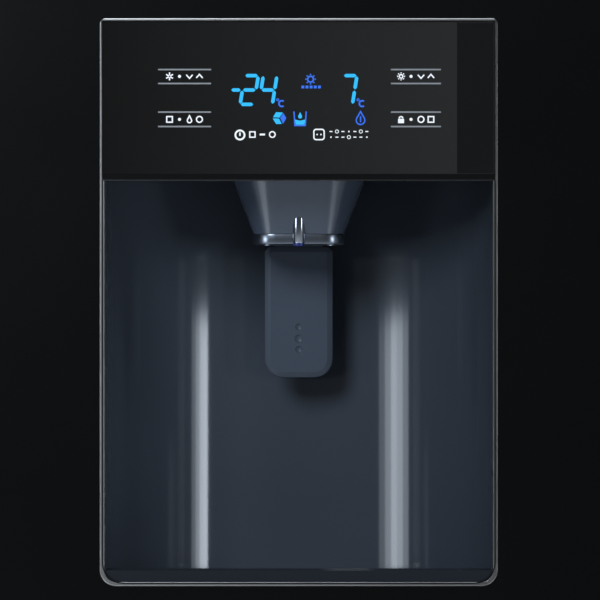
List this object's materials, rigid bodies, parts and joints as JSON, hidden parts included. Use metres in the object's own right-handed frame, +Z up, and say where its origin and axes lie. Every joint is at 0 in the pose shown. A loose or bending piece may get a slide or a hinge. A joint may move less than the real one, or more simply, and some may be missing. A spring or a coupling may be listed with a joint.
{
  "type": "side by side refrigerator",
  "caption": "Free-standing two-door refrigerator and freezer with an ice and water dispenser let into the freezer door, sprung paddle, drip tray, drawers, bins, fans and cooling circuit parts.",
  "frame": {"origin": "on the floor under the middle of the whole object's box", "axes": "+Z up, the doors face -Y, +X to the right seen from the front"},
  "size_m": [0.91, 0.706, 1.786],
  "materials": {
    "door_skin": "smooth black coat on steel",
    "case_paint": "fine textured dark coat on steel",
    "zinc_sheet": "galvanised sheet",
    "steel_bright": "plated steel",
    "foam": "poured foam, shown as a light closed solid",
    "liner_white": "formed white plastic",
    "clear_plastic": "clear moulding",
    "seal": "soft seal",
    "dark_trim": "grained dark plastic",
    "shelf_glass": "clear toughened glass",
    "white_trim": "white moulding",
    "frame_silver": "satin silver",
    "recess_plastic": "smooth dark blue grey",
    "panel_glass": "black printed glass",
    "board": "circuit board",
    "chute_plastic": "smooth dark blue grey",
    "nozzle_chrome": "polished",
    "paddle_plastic": "smooth dark blue grey",
    "tray_plastic": "fine grain",
    "compressor_black": "black enamel",
    "mount_rubber": "moulded rubber",
    "coil_black": "black coated tube and fins",
    "coil_bright": "mill finish",
    "fan_plastic": "moulded plastic",
    "grey_plastic": "moulded plastic",
    "lens": "opal lens",
    "roller_nylon": "nylon"
  },
  "bodies": {
    "cabinet": {"outer_case": "case_paint", "cabinet_foam": "foam", "freezer_liner": "liner_white", "fridge_liner": "liner_white", "back_panel": "zinc_sheet", "machine_cover": "zinc_sheet", "base_frame": "zinc_sheet", "kick_grille": "dark_trim", "hinges": "steel_bright", "hinge_covers": "dark_trim", "cabinet_screws": "steel_bright", "compressor": "compressor_black", "compressor_mounts": "mount_rubber", "condenser": "coil_black", "condenser_shroud": "fan_plastic", "drain_pan": "grey_plastic", "glass_shelves": "shelf_glass", "shelf_edges": "white_trim", "evaporator_cover": "white_trim", "evaporator": "coil_bright", "ice_maker": "grey_plastic", "ice_bucket": "clear_plastic", "auger_drive": "white_trim", "air_duct": "white_trim", "interior_lights": "lens"},
    "freezer_door": {"freezer_door_skin": "door_skin", "freezer_door_foam": "foam", "freezer_door_liner": "liner_white", "freezer_door_gasket": "seal", "freezer_door_bins": "clear_plastic", "freezer_door_trims": "dark_trim", "dispenser_frame": "frame_silver", "dispenser_housing": "recess_plastic", "control_panel": "panel_glass", "display_board": "board", "ice_chute": "chute_plastic", "water_nozzle": "nozzle_chrome", "paddle_switch": "dark_trim"},
    "fridge_door": {"fridge_door_skin": "door_skin", "fridge_door_foam": "foam", "fridge_door_liner": "liner_white", "fridge_door_gasket": "seal", "fridge_door_bins": "clear_plastic", "fridge_door_trims": "dark_trim"},
    "paddle": {"paddle": "paddle_plastic"},
    "ice_flap": {"ice_flap": "chute_plastic"},
    "drip_tray": {"drip_tray": "tray_plastic", "drip_grille": "tray_plastic"},
    "dairy_lid": {"dairy_lid": "clear_plastic"},
    "freezer_drawer_upper": {"freezer_drawer_upper": "clear_plastic"},
    "freezer_drawer_lower": {"freezer_drawer_lower": "clear_plastic"},
    "crisper_upper": {"crisper_upper": "clear_plastic"},
    "crisper_lower": {"crisper_lower": "clear_plastic"},
    "ice_auger": {"ice_auger": "steel_bright"},
    "evaporator_fan": {"evaporator_fan": "fan_plastic"},
    "condenser_fan": {"condenser_fan": "fan_plastic"},
    "roller_left": {"roller_left": "roller_nylon"},
    "roller_right": {"roller_right": "roller_nylon"},
    "foot_left": {"foot_left": "dark_trim"},
    "foot_right": {"foot_right": "dark_trim"}
  },
  "joints": [
    {"name": "freezer_door_swing", "type": "hinge", "parent": "cabinet", "child": "freezer_door", "pos_m": [-0.437, -0.321, 0.9], "axis": [0, 0, -1], "range_deg": [0, 125]},
    {"name": "fridge_door_swing", "type": "hinge", "parent": "cabinet", "child": "fridge_door", "pos_m": [0.437, -0.321, 0.9], "axis": [0, 0, 1], "range_deg": [0, 125]},
    {"name": "paddle_push", "type": "hinge", "parent": "freezer_door", "child": "paddle", "pos_m": [-0.266, -0.262, 1.176], "axis": [1, 0, 0], "range_deg": [0, 12], "stiffness_Nm_per_rad": 0.3, "springref_deg": -5.73},
    {"name": "ice_flap_swing", "type": "hinge", "parent": "freezer_door", "child": "ice_flap", "pos_m": [-0.266, -0.2712, 1.2915], "axis": [1, 0, 0], "range_deg": [0, 40]},
    {"name": "drip_tray_lift", "type": "slide", "parent": "freezer_door", "child": "drip_tray", "axis": [0, 0, 1], "range_m": [0, 0.03]},
    {"name": "dairy_lid_lift", "type": "hinge", "parent": "fridge_door", "child": "dairy_lid", "pos_m": [0.1905, -0.283, 1.566], "axis": [1, 0, 0], "range_deg": [0, 85]},
    {"name": "freezer_drawer_upper_slide", "type": "slide", "parent": "cabinet", "child": "freezer_drawer_upper", "axis": [0, -1, 0], "range_m": [0, 0.07]},
    {"name": "freezer_drawer_lower_slide", "type": "slide", "parent": "cabinet", "child": "freezer_drawer_lower", "axis": [0, -1, 0], "range_m": [0, 0.07]},
    {"name": "crisper_upper_slide", "type": "slide", "parent": "cabinet", "child": "crisper_upper", "axis": [0, -1, 0], "range_m": [0, 0.07]},
    {"name": "crisper_lower_slide", "type": "slide", "parent": "cabinet", "child": "crisper_lower", "axis": [0, -1, 0], "range_m": [0, 0.07]},
    {"name": "ice_auger_turn", "type": "hinge", "parent": "cabinet", "child": "ice_auger", "pos_m": [-0.266, 0, 1.2766], "axis": [0, 1, 0], "continuous": true},
    {"name": "evaporator_fan_spin", "type": "hinge", "parent": "cabinet", "child": "evaporator_fan", "pos_m": [-0.2475, 0.22, 0.96], "axis": [0, 1, 0], "continuous": true},
    {"name": "condenser_fan_spin", "type": "hinge", "parent": "cabinet", "child": "condenser_fan", "pos_m": [-0.12, 0.238, 0.1465], "axis": [1, 0, 0], "continuous": true},
    {"name": "roller_left_roll", "type": "hinge", "parent": "cabinet", "child": "roller_left", "pos_m": [-0.429, 0.289, 0.016], "axis": [1, 0, 0], "continuous": true},
    {"name": "roller_right_roll", "type": "hinge", "parent": "cabinet", "child": "roller_right", "pos_m": [0.429, 0.289, 0.016], "axis": [1, 0, 0], "continuous": true},
    {"name": "foot_left_turn", "type": "hinge", "parent": "cabinet", "child": "foot_left", "pos_m": [-0.429, -0.237, 0.01], "axis": [0, 0, 1], "continuous": true},
    {"name": "foot_right_turn", "type": "hinge", "parent": "cabinet", "child": "foot_right", "pos_m": [0.429, -0.237, 0.01], "axis": [0, 0, 1], "continuous": true}
  ],
  "couplings": [
    {"joint": "ice_flap_swing", "follows": "paddle_push", "ratio": 3.3333}
  ]
}
